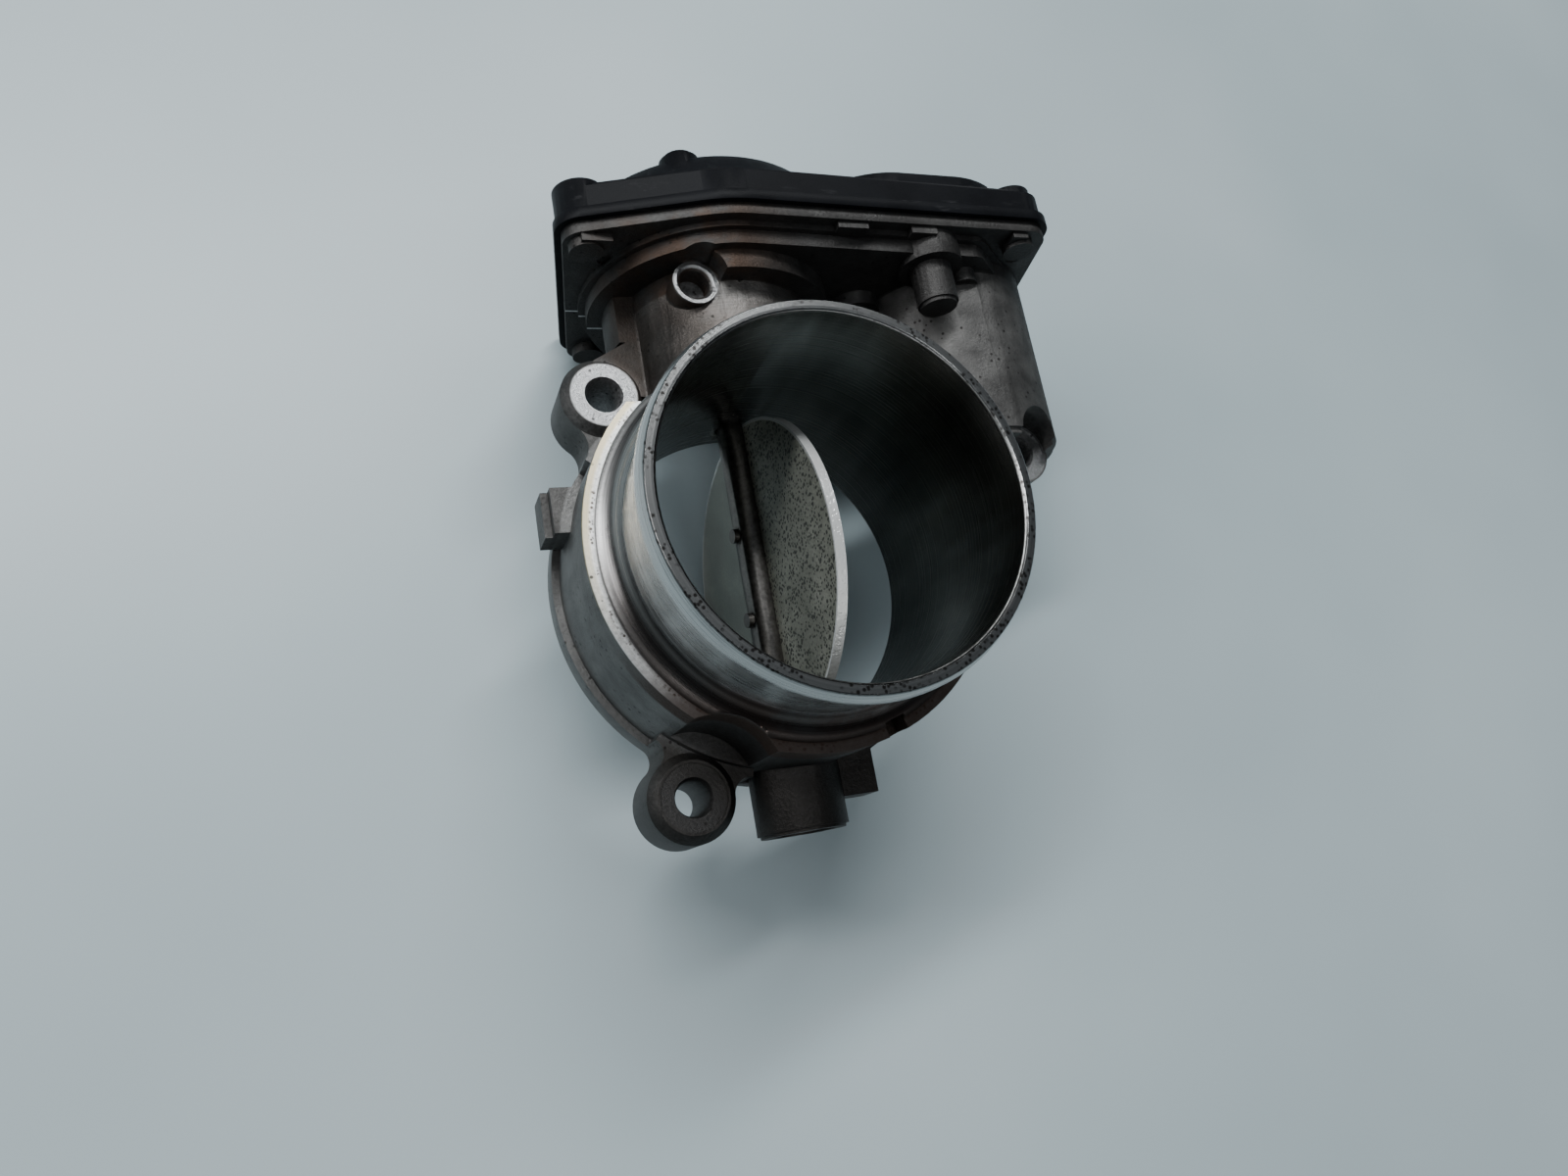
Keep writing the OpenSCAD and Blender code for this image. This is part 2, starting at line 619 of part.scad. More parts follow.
module motor_screws() color("gray") for (s = motor_screw_at) difference() {
  union() {
    rod(s, 1.25, case_y - 1.8, floor_y + 1.7);
    rod(s, 2.4, floor_y + 1.6, floor_y + 3.2);
  }
  bar(floor_y + 2.2, floor_y + 4) translate(s) circle(r = 1.2, $fn = 6);
}
module motor_terminals() color([0.75, 0.6, 0.3]) for (s = [-1, 1])
  translate([motor[0] + 10.6, 0, motor[1] + s * 4.4]) {
    block(-1.5, 1.5, 59.6, 60.2, -1, 1);
    block(-0.8, 0.8, 60, 71, -0.3, 0.3);
  }
module motor_pinion() color([0.78, 0.65, 0.3]) difference() {
  bar(wheel_y0 - 0.6, wheel_y1 + 0.2) translate(motor)
    gear_outline(mod_fast, motor_pinion_teeth, motor_dir + 180 + 180 / motor_pinion_teeth);
  rod(motor, 1.6, 50, 90);
}
module cover_contacts() color([0.75, 0.6, 0.3]) for (s = [-1, 1])
  translate([motor[0] + 10.6, 0, motor[1] + s * 4.4]) {
    block(-1.2, 1.2, 69, 73, 0.7, 1.1);
    block(-1.2, 1.2, 69, 73, -1.1, -0.7);
    block(-1.2, 1.2, 71.6, 73, -1.1, 1.1);
  }

// ---------- position sensor ----------
module sensor_board() color([0.05, 0.3, 0.15]) difference() {
  bar(76.2, 77.8) intersection() {
    translate([-13, shaft_z - 15]) square([30, 30]);
    translate([0, shaft_z]) circle(r = 24);
  }
  for (s = [[-10, 11], [13, -11]]) rod([s[0], shaft_z + s[1]], 1.2, 70, 90);
}
module sensor_chip() color([0.08, 0.08, 0.08]) {
  block(-3, 3, 74.6, 76.2, shaft_z - 2.5, shaft_z + 2.5);
}

throttle_housing();
gear_cover();
cover_seal();
cover_screws();
connector_pins();
throttle_shaft();
throttle_plate();
plate_screws();
drive_bearing_shell();
drive_bearing_needles();
end_bearing_shell();
end_bearing_needles();
shaft_seal();
end_plug();
sector_gear();
gear_insert();
sensor_magnet();
return_spring();
spring_bush();
idler_gear();
idler_axle();
motor_can();
motor_rear_bush();
motor_washer();
motor_magnets();
motor_rotor();
motor_windings();
commutator();
brush_holder();
motor_brushes();
motor_end_plate();
motor_front_bush();
motor_screws();
motor_terminals();
motor_pinion();
cover_contacts();
sensor_board();
sensor_chip();
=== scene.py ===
import json
import math

import bmesh
import bpy
from mathutils import Matrix, Vector


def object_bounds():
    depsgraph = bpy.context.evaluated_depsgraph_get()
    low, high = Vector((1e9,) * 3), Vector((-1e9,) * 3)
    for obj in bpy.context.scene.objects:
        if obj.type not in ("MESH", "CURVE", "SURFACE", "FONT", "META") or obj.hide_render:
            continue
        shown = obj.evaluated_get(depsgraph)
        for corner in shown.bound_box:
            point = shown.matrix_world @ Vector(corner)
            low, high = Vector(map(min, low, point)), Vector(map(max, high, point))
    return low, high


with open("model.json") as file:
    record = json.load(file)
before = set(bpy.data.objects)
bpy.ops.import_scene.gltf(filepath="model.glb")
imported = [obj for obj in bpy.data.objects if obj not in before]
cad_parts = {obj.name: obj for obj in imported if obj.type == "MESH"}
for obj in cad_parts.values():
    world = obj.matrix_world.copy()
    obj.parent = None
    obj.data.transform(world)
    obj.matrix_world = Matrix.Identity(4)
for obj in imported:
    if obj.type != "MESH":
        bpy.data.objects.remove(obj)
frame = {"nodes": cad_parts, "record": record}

CAD_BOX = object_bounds()
NODES = frame["nodes"]
SLOT_OF = {part["node"]: part["material_slot"] for part in frame["record"]["subparts"]}
MM = 0.001

# Places on the housing, in millimetres in the row frame
BORE_R = 33.0
NECK_R = 35.0
FOOT_R = 38.2  # outer edge of the fillet at the neck's foot
COLLAR_R = 40.2
COLLAR_INNER_R = 36.0  # where the turned top of the collar starts
FLANGE_R = 41.7
COLLAR_Z = 31.0
MOUTH_Z = 56.0
CASE_Y = 60.5  # back of the gear case
SHAFT_AXIS = (0.0, 7.0)  # x, z
DRUM_R = 20.0
DRUM_Y = (38.0, 56.6)
MOTOR_AXIS = (55.55, 6.47)  # x, z
BARREL_R = 20.2
EAR_A = (-28.27, 37.92)  # beside the gear case
EAR_B = (-22.5, -42.85)  # at the far bearing
EAR_C = (64.29, 22.77)  # at the end of the motor housing
BOSS = (-9.8, 56.1)  # drilled boss on the drum
PLATE_RIM_R = 31.9  # beyond this the butterfly's edge is turned bright

# Edges and floor
EDGES_MM = {"gear_cover": 0.45, "throttle_housing": 0.35, "throttle_shaft": 0.12}
EDGE_ANGLE = math.radians(32.0)  # sharper bends than this are rounded
FLAT_ANGLE = math.radians(0.6)  # facets that meet flatter than this are one face
WELD_MM = 0.001
FLOOR_HALF_WIDTH = 3.0  # metres
FLOOR_GAP_MM = 0.2


# ---------------------------------------------------------------- node graphs
class Graph:
    """A material built from nodes. Lengths in it are millimetres in the row frame, and a mask
    is a number from 0 to 1 that says where on the part something shows."""

    def __init__(self, name, metallic=0.0, ior=1.5):
        self.mat = bpy.data.materials.new(name)
        self.mat.use_nodes = True
        self.tree = self.mat.node_tree
        self.shader = self.tree.nodes["Principled BSDF"]
        self.shader.inputs["Metallic"].default_value = metallic
        self.shader.inputs["IOR"].default_value = ior
        coords = self.tree.nodes.new("ShaderNodeTexCoord")
        scale = self.tree.nodes.new("ShaderNodeVectorMath")
        scale.operation = "SCALE"
        scale.inputs["Scale"].default_value = 1.0 / MM
        self.wire(coords.outputs["Object"], scale.inputs[0])
        self.pos = scale.outputs[0]
        split = self.tree.nodes.new("ShaderNodeSeparateXYZ")
        self.wire(self.pos, split.inputs[0])
        self.x, self.y, self.z = split.outputs
        self.colour = None
        self.rough = None

    def wire(self, out, into):
        self.tree.links.new(out, into)

    def put(self, value, into):
        if isinstance(value, bpy.types.NodeSocket):
            self.wire(value, into)
        else:
            into.default_value = value

    def math(self, op, *args):
        node = self.tree.nodes.new("ShaderNodeMath")
        node.operation = op
        for i, value in enumerate(args):
            self.put(value, node.inputs[i])
        return node.outputs[0]

    def most(self, *args):
        """The greatest of some masks."""
        top = args[0]
        for value in args[1:]:
            top = self.math("MAXIMUM", top, value)
        return top

    def rest_of(self, mask):
        return self.math("SUBTRACT", 1.0, mask)

    def add(self, *args):
        total = args[0]
        for value in args[1:]:
            total = self.math("ADD", total, value)
        return total

    def mul(self, *args):
        total = args[0]
        for value in args[1:]:
            total = self.math("MULTIPLY", total, value)
        return total

    def away(self, place, u=None, v=None):
        """Distance from an axis through a place, along Z unless two other coordinates are given."""
        du = self.math("SUBTRACT", self.x if u is None else u, place[0])
        dv = self.math("SUBTRACT", self.y if v is None else v, place[1])
        return self.math("SQRT", self.add(self.mul(du, du), self.mul(dv, dv)))

    def above(self, value, edge, soft):
        """0 below the edge, 1 above it, and a smooth step between that is soft wide on each side."""
        node = self.tree.nodes.new("ShaderNodeMapRange")
        node.interpolation_type = "SMOOTHSTEP"
        self.wire(value, node.inputs["Value"])
        node.inputs["From Min"].default_value = edge - soft
        node.inputs["From Max"].default_value = edge + soft
        return node.outputs["Result"]

    def below(self, value, edge, soft):
        return self.rest_of(self.above(value, edge, soft))

    def within(self, value, low, high, soft):
        return self.mul(self.above(value, low, soft), self.below(value, high, soft))

    def vector(self, x, y, z):
        node = self.tree.nodes.new("ShaderNodeCombineXYZ")
        for i, value in enumerate((x, y, z)):
            self.put(value, node.inputs[i])
        return node.outputs[0]

    def noise(self, scale, detail, rough, at=None, stretch=None):
        """Noise in 0 to 1, with scale in features per millimetre."""
        where = at or self.pos
        if stretch:
            node = self.tree.nodes.new("ShaderNodeVectorMath")
            node.operation = "MULTIPLY"
            self.wire(where, node.inputs[0])
            node.inputs[1].default_value = stretch
            where = node.outputs[0]
        node = self.tree.nodes.new("ShaderNodeTexNoise")
        self.wire(where, node.inputs["Vector"])
        node.inputs["Scale"].default_value = scale
        node.inputs["Detail"].default_value = detail
        node.inputs["Roughness"].default_value = rough
        return node.outputs["Fac"]

    def cells(self, scale):
        """Distance to the nearest random point, for pits and specks."""
        node = self.tree.nodes.new("ShaderNodeTexVoronoi")
        self.wire(self.pos, node.inputs["Vector"])
        node.inputs["Scale"].default_value = scale
        return node.outputs["Distance"]

    def ramp(self, value, *stops):
        """Colours or greys placed along 0 to 1: (place, colour)."""
        node = self.tree.nodes.new("ShaderNodeValToRGB")
        bar = node.color_ramp.elements
        for i, (place, colour) in enumerate(stops):
            if i < 2:
                stop = bar[i]
                stop.position = place
            else:
                stop = bar.new(place)
            stop.color = rgba(colour)
        self.wire(value, node.inputs[0])
        return node.outputs[0]

    def lerp(self, share, a, b):
        """Number a where share is 0, b where it is 1."""
        node = self.tree.nodes.new("ShaderNodeMix")
        self.put(share, node.inputs[0])
        self.put(a, node.inputs[2])
        self.put(b, node.inputs[3])
        return node.outputs[0]

    def paint(self, mask, colour, strength=None, rough=None):
        """Lays a colour over what is there, where the mask says, and a roughness if one is given."""
        node = self.tree.nodes.new("ShaderNodeMix")
        node.data_type = "RGBA"
        self.put(mask if strength is None else self.mul(mask, strength), node.inputs[0])
        self.put(self.colour, node.inputs[6])
        self.put(rgba(colour) if isinstance(colour, tuple) else colour, node.inputs[7])
        self.colour = node.outputs[2]
        if rough is not None:
            self.rough = self.lerp(mask, self.rough, rough)

    def bump(self, height, depth, normal=None):
        """Height in 0 to 1 standing depth millimetres."""
        node = self.tree.nodes.new("ShaderNodeBump")
        node.inputs["Distance"].default_value = depth * MM
        node.inputs["Strength"].default_value = 1.0
        self.wire(height, node.inputs["Height"])
        if normal:
            self.wire(normal, node.inputs["Normal"])
        return node.outputs["Normal"]

    def finish(self, colour, rough, normal=None):
        self.put(colour, self.shader.inputs["Base Color"])
        self.put(rough, self.shader.inputs["Roughness"])
        if normal:
            self.wire(normal, self.shader.inputs["Normal"])
        return self.mat


def rgba(colour):
    """A grey or an (r, g, b) with its alpha."""
    if isinstance(colour, float):
        return (colour, colour, colour, 1.0)
    return (*colour, 1.0)


# ---------------------------------------------------------------- materials
def paint_casting(g, r, grain, coarse, blotch):
    """The rough casting, then its darker gear end, turned drum, motor housing and side wall."""
    g.colour = g.ramp(g.add(g.mul(grain, 0.5), g.mul(coarse, 0.5)),
                      (0.30, (0.035, 0.034, 0.033)), (0.58, (0.095, 0.093, 0.09)),
                      (0.85, (0.19, 0.187, 0.18)))
    g.rough = g.lerp(grain, 0.48, 0.68)
    gear_end = g.above(g.y, 44.0, 10.0)
    g.paint(gear_end, (0.045, 0.043, 0.042), g.lerp(coarse, 0.9, 0.3))
    near_boss = g.below(g.away((-12.0, 52.0)), 17.0, 10.0)
    brown = g.mul(near_boss, g.above(blotch, 0.46, 0.10), g.above(g.z, 12.0, 6.0))
    g.paint(brown, (0.075, 0.045, 0.03), 0.75)
    drum = g.within(g.away(SHAFT_AXIS, g.x, g.z), DRUM_R - 0.6, DRUM_R + 0.4, 0.25)
    drum = g.mul(drum, g.within(g.y, *DRUM_Y, 0.3))
    arcs = g.noise(1.0, 3.0, 0.6, at=g.vector(0.0, g.mul(g.y, 4.0), 0.0))
    drum_tone = g.ramp(g.add(g.mul(arcs, 0.6), g.mul(coarse, 0.4)),
                       (0.3, (0.055, 0.052, 0.049)), (0.7, (0.21, 0.20, 0.19)))
    g.paint(drum, drum_tone, 0.7, rough=0.46)
    barrel = g.within(g.away(MOTOR_AXIS, g.x, g.z), BARREL_R - 2.8, BARREL_R + 0.6, 0.3)
    barrel = g.mul(barrel, g.below(g.y, CASE_Y + 0.1, 0.4))
    barrel_tone = g.ramp(coarse, (0.3, (0.08, 0.078, 0.076)), (0.75, (0.17, 0.166, 0.16)))
    g.paint(barrel, barrel_tone, 0.8, rough=g.lerp(grain, 0.58, 0.70))
    wall = g.mul(g.within(r, COLLAR_R - 0.6, FLANGE_R + 0.5, 0.3), g.below(g.z, COLLAR_Z - 0.4, 0.3))
    wall_tone = g.ramp(g.add(g.mul(grain, 0.35), g.mul(coarse, 0.65)),
                       (0.3, (0.085, 0.084, 0.082)), (0.75, (0.18, 0.178, 0.173)))
    g.paint(wall, wall_tone, 0.75, rough=g.lerp(grain, 0.42, 0.56))


def paint_neck(g, r, blotch, turning_z):
    """The machined neck with wiped turning lines, and a brown-red stain at its foot. Gives its mask."""
    scratches = g.noise(1.0, 4.0, 0.7, stretch=(0.05, 0.05, 2.6))
    neck = g.mul(g.within(r, NECK_R - 1.3, FOOT_R + 0.4, 0.25), g.above(g.z, COLLAR_Z + 0.4, 0.4))
    neck_tone = g.ramp(g.add(g.mul(turning_z, 0.55), g.mul(scratches, 0.45)),
                       (0.32, (0.16, 0.16, 0.16)), (0.52, (0.46, 0.46, 0.455)),
                       (0.72, (0.78, 0.78, 0.77)))
    g.paint(neck, neck_tone, rough=g.lerp(scratches, 0.20, 0.36))
    foot = g.mul(g.below(g.y, -12.0, 10.0), g.within(g.z, COLLAR_Z, COLLAR_Z + 7.5, 2.6),
                 g.within(r, NECK_R - 1.0, COLLAR_R - 0.2, 0.6))
    foot = g.mul(foot, g.above(blotch, 0.40, 0.12), g.within(g.x, -22.0, 16.0, 7.0))
    g.paint(foot, (0.17, 0.05, 0.03), 0.85)
    return neck


def paint_collar_and_rim(g, r, grain, turning_r):
    """Turned rings on the collar's top and the mouth's rim, with oxide and pits. Gives both masks."""
    collar = g.mul(g.within(r, COLLAR_INNER_R, COLLAR_R + 0.2, 0.2),
                   g.within(g.z, COLLAR_Z - 0.3, COLLAR_Z + 0.9, 0.2))
    collar_tone = g.ramp(g.add(g.mul(turning_r, 0.5), g.mul(grain, 0.5)),
                         (0.32, (0.42, 0.42, 0.41)), (0.66, (0.92, 0.92, 0.91)))
    g.paint(collar, collar_tone, rough=g.lerp(turning_r, 0.24, 0.44))
    oxide = g.mul(g.within(r, COLLAR_R - 1.2, COLLAR_R + 0.4, 0.5),
                  g.above(g.z, COLLAR_Z - 0.8, 0.5), g.above(g.y, -6.0, 14.0))
    g.paint(oxide, (0.52, 0.41, 0.18), g.lerp(grain, 0.35, 0.95))
    pit_line = g.mul(g.within(r, COLLAR_R - 1.9, COLLAR_R - 1.1, 0.3),
                     g.within(g.z, COLLAR_Z - 0.4, COLLAR_Z + 0.8, 0.3),
                     g.below(g.cells(1.4), 0.40, 0.12), g.above(g.noise(0.25, 3.0, 0.7), 0.50, 0.05))
    g.paint(pit_line, (0.05, 0.03, 0.02), 0.9)
    # the mouth's turned rim is painted dark grey, a painted reflection of the dark ceiling between the lamps
    rim = g.mul(g.above(g.z, MOUTH_Z - 0.4, 0.15), g.above(r, BORE_R, 0.2))
    g.paint(rim, g.ramp(turning_r, (0.3, (0.10, 0.10, 0.10)), (0.7, (0.30, 0.30, 0.295))), rough=0.26)
    rim_pits = g.mul(rim, g.below(g.cells(1.1), 0.36, 0.12), g.above(g.noise(0.2, 3.0, 0.7), 0.47, 0.05))
    g.paint(rim_pits, (0.025, 0.022, 0.02), 0.9)
    return collar, rim


def paint_seats(g, grain):
    """Machined rings round the bolt holes and the drilled boss; oil from 0 to 1 darkens a ring."""
    clean_tone, oily_tone = 0.34, 0.035
    seats = (  # place, inner and outer radius, height, oil
        (EAR_A, 3.7, 6.7, 13.8, 0.0),
        (EAR_B, 3.7, 6.3, 13.5, 0.75),
        (EAR_C, 3.7, 7.0, 13.8, 0.2),
        (BOSS, 2.9, 4.7, 26.0, 0.0),
    )
    for place, inner, outer, top, oil in seats:
        d = g.away(place)
        tone = clean_tone * (1.0 - oil) + oily_tone * oil
        seat = g.mul(g.within(d, inner, outer, 0.25), g.within(g.z, top, top + 0.9, 0.15))
        g.paint(seat, g.ramp(grain, (0.3, tone * 0.72), (0.7, tone)), rough=0.30)
        hole = g.mul(g.below(d, inner + 0.1, 0.15), g.below(g.z, top + 1.0, 0.2))
        g.paint(hole, g.ramp(grain, (0.3, 0.10), (0.8, 0.30)))


def paint_dirt_and_shade(g, r, grain, coarse):
    """Oil by the far ear and small casting pits; painted shade in the corner by ear A, in the fillet at the
    neck's foot and on the collar's top towards -Y; dirt with painted shade on the far side under the collar.
    """
    oily_ear = g.mul(g.below(g.away((-20.0, -42.0)), 13.0, 4.0),
                     g.below(r, 47.0, 3.0), g.above(r, 41.0, 0.8))
    g.paint(oily_ear, (0.06, 0.055, 0.05), 0.7)
    # painted shade: the corner between ear A and the gear case, below the ear's top, is darkened to near
    # black
    corner = g.mul(g.below(g.away((-17.0, 47.0)), 10.0, 5.0), g.below(g.z, 26.0, 1.0),
                   g.above(g.away(EAR_A), 8.4, 0.8))
    g.paint(corner, (0.028, 0.024, 0.021), g.lerp(coarse, 0.95, 0.5))
    pits = g.mul(g.below(g.cells(0.55), 0.17, 0.05), g.above(g.noise(0.11, 2.0, 0.5), 0.50, 0.05),
                 g.below(g.z, COLLAR_Z + 0.5, 0.3), g.above(r, 39.0, 0.4))
    g.paint(pits, (0.018, 0.016, 0.015), 0.85)
    # the side towards the far bearing, under the collar: dark oily dirt together with painted shade on the
    # side that faces away from the light
    under_collar = g.below(g.z, COLLAR_Z - 0.1, 0.5)
    dirt_and_shade = g.mul(g.below(g.y, -30.0, 9.0), under_collar,
                  g.above(g.add(g.x, g.mul(g.y, -0.2)), -14.0, 9.0))
    dirt_and_shade = g.most(dirt_and_shade, g.mul(g.below(g.y, -36.0, 5.0), under_collar, 0.8))
    g.paint(dirt_and_shade, (0.030, 0.027, 0.025), g.lerp(grain, 0.95, 0.75), rough=0.5)
    # painted shade in the fillet where the neck meets the collar, stronger on the -Y side
    fillet = g.mul(g.within(r, NECK_R - 0.9, FOOT_R + 0.2, 0.4),
                   g.within(g.z, COLLAR_Z - 0.4, COLLAR_Z + 6.4, 1.0))
    g.paint(fillet, (0.045, 0.036, 0.032), g.lerp(g.below(g.y, -4.0, 14.0), 0.45, 0.9))
    # painted shade, brown-tinted, on the collar's top and upper edge on the -Y side
    collar_shade = g.mul(g.within(r, COLLAR_INNER_R, COLLAR_R + 0.8, 0.4),
                   g.within(g.z, COLLAR_Z - 5.0, COLLAR_Z + 0.8, 0.6), g.below(g.y, -22.0, 8.0))
    g.paint(collar_shade, (0.045, 0.030, 0.024), g.lerp(coarse, 1.0, 0.88), rough=0.6)


def paint_bore(g, r, rings, turning_r):
    """Fine turned rings darkened by soot and oil, and the flat mounting face. Gives the bore's mask."""
    bore = g.mul(g.below(r, BORE_R + 0.5, 0.12), g.below(g.z, MOUTH_Z - 0.5, 0.3), g.above(g.z, -0.2, 0.2))
    soot = g.noise(0.05, 3.0, 0.6, stretch=(1.0, 1.0, 0.35))
    bore_tone = g.ramp(g.add(g.mul(rings, 0.45), g.mul(soot, 0.55)),
                       (0.34, (0.045, 0.047, 0.043)), (0.52, (0.14, 0.143, 0.130)),
                       (0.68, (0.32, 0.322, 0.295)))
    g.paint(bore, bore_tone, rough=g.lerp(rings, 0.16, 0.36))
    face = g.mul(g.below(g.z, 0.1, 0.1), g.above(g.z, -0.3, 0.1))
    g.paint(face, g.ramp(turning_r, (0.3, 0.5), (0.7, 0.74)), rough=0.3)
    return bore


def housing_metal():
    """Cast aluminium with machined neck, collar, bore and seats, each found by its place."""
    g = Graph("cast_aluminium", metallic=1.0)
    r = g.away((0.0, 0.0))
    grain = g.noise(1.6, 4.0, 0.6)
    coarse = g.noise(0.16, 3.0, 0.6)
    fine = g.noise(7.0, 2.0, 0.6)
    blotch = g.noise(0.07, 4.0, 0.65)
    turning_z = g.noise(1.0, 4.0, 0.7, at=g.vector(0.0, 0.0, g.mul(g.z, 3.2)))
    turning_r = g.noise(1.0, 4.0, 0.7, at=g.vector(g.mul(r, 3.4), 0.0, 0.0))
    rings = g.noise(1.0, 4.0, 0.8, at=g.vector(0.0, 0.0, g.mul(g.z, 1.9)))
    paint_casting(g, r, grain, coarse, blotch)
    neck = paint_neck(g, r, blotch, turning_z)
    collar, rim = paint_collar_and_rim(g, r, grain, turning_r)
    paint_seats(g, grain)
    paint_dirt_and_shade(g, r, grain, coarse)
    bore = paint_bore(g, r, rings, turning_r)
    cast_height = g.add(g.mul(grain, 0.7), g.mul(fine, 0.3))
    normal = g.bump(g.mul(cast_height, g.rest_of(g.most(neck, collar, bore, rim))), 0.20)
    normal = g.bump(g.mul(g.most(neck, bore), g.most(turning_z, rings)), 0.035, normal)
    normal = g.bump(g.mul(g.most(collar, rim), turning_r), 0.015, normal)
    return g.finish(g.colour, g.rough, normal)


def plain_metal(name, low, high, rough, scale=1.2):
    """Metal with fine variation in tone and polish."""
    spread = 0.35  # how far the roughness strays from its middle value
    g = Graph(name, metallic=1.0)
    grain = g.noise(scale, 4.0, 0.6)
    wide = g.noise(scale * 0.12, 3.0, 0.6)
    colour = g.ramp(g.add(g.mul(grain, 0.55), g.mul(wide, 0.45)), (0.32, low), (0.68, high))
    polish = g.lerp(grain, rough * (1 - spread), rough * (1 + spread))
    return g.finish(colour, polish, g.bump(grain, 0.015))


def plate_metal():
    """The butterfly: dull upper half with dark specks, cleaner lower half, bright turned rim."""
    g = Graph("plate_aluminium", metallic=0.35)
    grain = g.noise(2.2, 4.0, 0.65)
    wide = g.noise(0.11, 4.0, 0.6)
    g.colour = g.ramp(g.add(g.mul(grain, 0.45), g.mul(wide, 0.55)),
                      (0.34, (0.12, 0.125, 0.10)), (0.52, (0.20, 0.205, 0.172)),
                      (0.70, (0.33, 0.335, 0.285)))
    g.rough = g.lerp(grain, 0.45, 0.65)
    upper = g.above(g.z, 6.0, 3.0)
    specks = g.most(g.below(g.cells(1.3), 0.34, 0.10), g.below(g.cells(0.7), 0.28, 0.07))
    specks = g.mul(specks, g.above(g.noise(0.35, 2.0, 0.5), 0.36, 0.06), upper)
    g.paint(specks, (0.025, 0.026, 0.022), 0.95)
    g.paint(g.rest_of(upper), (0.42, 0.43, 0.40), 0.4)
    rim = g.above(g.away((0.0, SHAFT_AXIS[1]), g.y, g.z), PLATE_RIM_R, 0.18)
    g.paint(rim, (0.55, 0.55, 0.54), rough=0.24)
    return g.finish(g.colour, g.rough, g.bump(g.add(g.mul(grain, 0.6), g.mul(specks, -0.6)), 0.06))


def cover_plastic():
    """Satin black glass-filled moulding with light handling scratches."""
    g = Graph("black_plastic")
    g.shader.inputs["Specular IOR Level"].default_value = 0.055
    grain = g.noise(3.0, 3.0, 0.6)
    wide = g.noise(0.08, 3.0, 0.6)
    scuffs = g.above(g.noise(0.25, 5.0, 0.75, stretch=(0.18, 1.0, 1.6)), 0.64, 0.05)
    g.colour = g.ramp(g.add(g.mul(grain, 0.4), g.mul(wide, 0.6)),
                      (0.3, (0.0028, 0.0030, 0.0037)), (0.7, (0.0075, 0.0080, 0.0095)))
    g.rough = g.lerp(wide, 0.34, 0.52)
    g.paint(scuffs, (0.04, 0.04, 0.042), 0.35, rough=0.6)
    return g.finish(g.colour, g.rough, g.bump(grain, 0.03))


def soft_rubber():
    g = Graph("rubber", ior=1.45)
    grain = g.noise(4.0, 3.0, 0.6)
    return g.finish(g.ramp(grain, (0.3, 0.010), (0.7, 0.028)), g.lerp(grain, 0.65, 0.85), g.bump(grain, 0.03))


def moulding(name, low, high, rough, metallic=0.0, scale=2.0):
    """Plain moulded or pressed stuff with slight mottling."""
    g = Graph(name, metallic=metallic)
    grain = g.noise(scale, 3.0, 0.6)
    wide = g.noise(scale * 0.1, 3.0, 0.6)
    colour = g.ramp(g.add(g.mul(grain, 0.4), g.mul(wide, 0.6)), (0.3, low), (0.7, high))
    return g.finish(colour, g.lerp(grain, rough * 0.8, rough * 1.2), g.bump(grain, 0.02))


def windings_copper():
    """Enamelled wire: fine strands round the rotor."""
    g = Graph("copper", metallic=0.9)
    strand = g.noise(1.0, 2.0, 0.5, at=g.vector(0.0, g.mul(g.y, 5.0), 0.0))
    colour = g.ramp(strand, (0.35, (0.22, 0.07, 0.02)), (0.65, (0.62, 0.27, 0.10)))
    return g.finish(colour, 0.32, g.bump(strand, 0.10))


SURFACE = {
    "cast_aluminium": housing_metal(),
    "black_plastic": cover_plastic(),
    "rubber": soft_rubber(),
    "steel": plain_metal("steel", 0.24, 0.46, 0.34),
    "dark_steel": plain_metal("dark_steel", (0.07, 0.066, 0.062), (0.17, 0.16, 0.15), 0.34, 1.4),
    "plate_aluminium": plate_metal(),
    "spring_steel": plain_metal("spring_steel", 0.22, 0.42, 0.34),
    "brass": plain_metal("brass", (0.52, 0.38, 0.16), (0.80, 0.64, 0.32), 0.28),
    "bronze": plain_metal("bronze", (0.34, 0.20, 0.09), (0.58, 0.40, 0.20), 0.45),
    "copper": windings_copper(),
    "natural_plastic": moulding("natural_plastic", (0.56, 0.53, 0.44), (0.72, 0.69, 0.60), 0.42),
    "gear_plastic": moulding("gear_plastic", 0.020, 0.045, 0.42),
    "magnet": moulding("magnet", 0.035, 0.075, 0.55, 0.3),
    "carbon": moulding("carbon", 0.012, 0.035, 0.6, 0.1, 5.0),
    "board_green": moulding("board_green", (0.008, 0.09, 0.035), (0.015, 0.16, 0.06), 0.25),
}
for name, obj in NODES.items():
    obj.data.materials.clear()
    obj.data.materials.append(SURFACE[SLOT_OF[name]])


# ---------------------------------------------------------------- edges
def round_edges(obj, width_mm):
    """Breaks the sharp edges of a CAD node, as a casting, a moulding or a turned part has them."""
    weld = obj.modifiers.new("weld", "WELD")
    weld.merge_threshold = WELD_MM * MM
    flat = obj.modifiers.new("flatten", "DECIMATE")
    flat.decimate_type = "DISSOLVE"
    flat.angle_limit = FLAT_ANGLE
    edge = obj.modifiers.new("edges", "BEVEL")
    edge.width = width_mm * MM
    edge.segments = 2
    edge.limit_method = "ANGLE"
    edge.angle_limit = EDGE_ANGLE
    edge.harden_normals = True
    edge.miter_outer = "MITER_ARC"


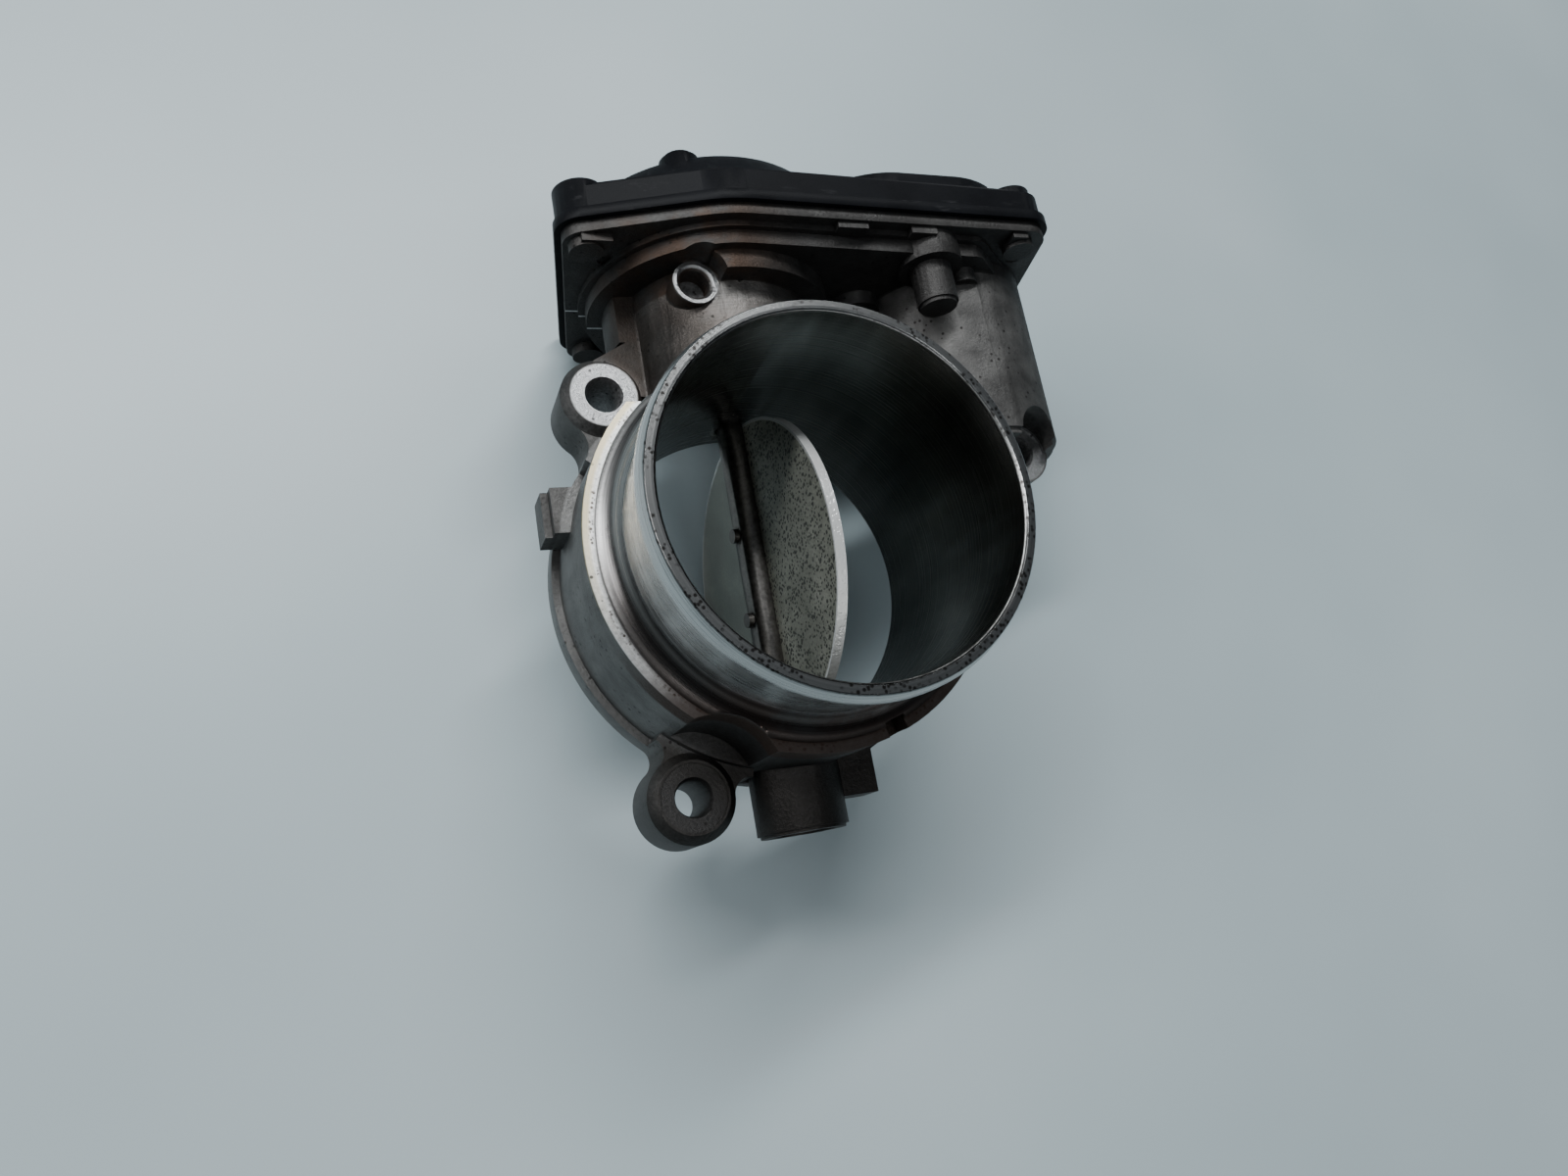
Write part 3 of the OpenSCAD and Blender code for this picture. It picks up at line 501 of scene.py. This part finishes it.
# ---------------------------------------------------------------- stage
def area(name, place, aim, size, power, colour):
    """A rectangular lamp that faces a point, in metres and watts."""
    light = bpy.data.lights.new(name, "AREA")
    light.shape = "RECTANGLE"
    light.size, light.size_y = size
    light.energy = power
    light.color = colour
    obj = bpy.data.objects.new(name, light)
    bpy.context.scene.collection.objects.link(obj)
    obj.location = place
    obj.rotation_mode = "QUATERNION"
    obj.rotation_quaternion = (Vector(aim) - Vector(place)).to_track_quat("-Z", "Y")


def floor():
    """A plain pale table top just under the part."""
    mesh = bpy.data.meshes.new("floor")
    shape = bmesh.new()
    bmesh.ops.create_grid(shape, x_segments=4, y_segments=4, size=FLOOR_HALF_WIDTH)
    shape.to_mesh(mesh)
    shape.free()
    obj = bpy.data.objects.new("floor", mesh)
    bpy.context.scene.collection.objects.link(obj)
    obj.location = (0.0, 0.0, CAD_BOX[0].z - FLOOR_GAP_MM * MM)
    g = Graph("floor_paint")
    haze = g.noise(0.006, 3.0, 0.5)
    tone = g.ramp(haze, (0.3, (0.30, 0.365, 0.385)), (0.7, (0.36, 0.425, 0.445)))
    mesh.materials.append(g.finish(tone, 0.42))


def studio():
    """A room that is dark at the horizon and grey overhead, with two long tubes and a soft side light."""
    world = bpy.data.worlds.new("studio")
    world.use_nodes = True
    tree = world.node_tree
    way = tree.nodes.new("ShaderNodeTexCoord")
    split = tree.nodes.new("ShaderNodeSeparateXYZ")
    sky = tree.nodes.new("ShaderNodeValToRGB")
    sky.color_ramp.elements[0].color = (0.016, 0.018, 0.020, 1.0)
    sky.color_ramp.elements[1].position = 0.9
    sky.color_ramp.elements[1].color = (0.13, 0.15, 0.165, 1.0)
    tree.links.new(way.outputs["Generated"], split.inputs[0])
    tree.links.new(split.outputs[2], sky.inputs[0])
    tree.links.new(sky.outputs[0], tree.nodes["Background"].inputs[0])
    bpy.context.scene.world = world
    centre = (0.02, 0.01, 0.02)
    cool = (0.95, 0.98, 1.0)
    area("tube_front", (0.05, -0.58, 1.30), centre, (1.5, 0.10), 4.5, cool)
    area("tube_back", (-0.22, 0.74, 1.15), centre, (1.5, 0.14), 30.0, cool)
    area("side_soft", (-1.1, 0.35, 0.80), centre, (0.7, 0.5), 7.0, (0.97, 0.98, 1.0))


def camera():
    """The photo's standpoint, fitted to the rim, collar and ear circles."""
    data = bpy.data.cameras.new("camera")
    data.sensor_width = 36.0
    data.lens = 25.875
    data.clip_start = 0.005
    obj = bpy.data.objects.new("camera", data)
    bpy.context.scene.collection.objects.link(obj)
    right = Vector((0.92645, -0.17377, 0.3339))
    down = Vector((-0.07212, -0.95257, -0.29566))
    forward = Vector((0.36944, 0.24984, -0.89504))
    turn = Matrix((right, -down, -forward)).transposed()
    obj.matrix_world = Matrix.Translation((-0.08053, -0.06061, 0.21447)) @ turn.to_4x4()
    bpy.context.scene.camera = obj


camera()
floor()
studio()
for name, width in EDGES_MM.items():
    round_edges(NODES[name], width)
bpy.context.view_layer.update()
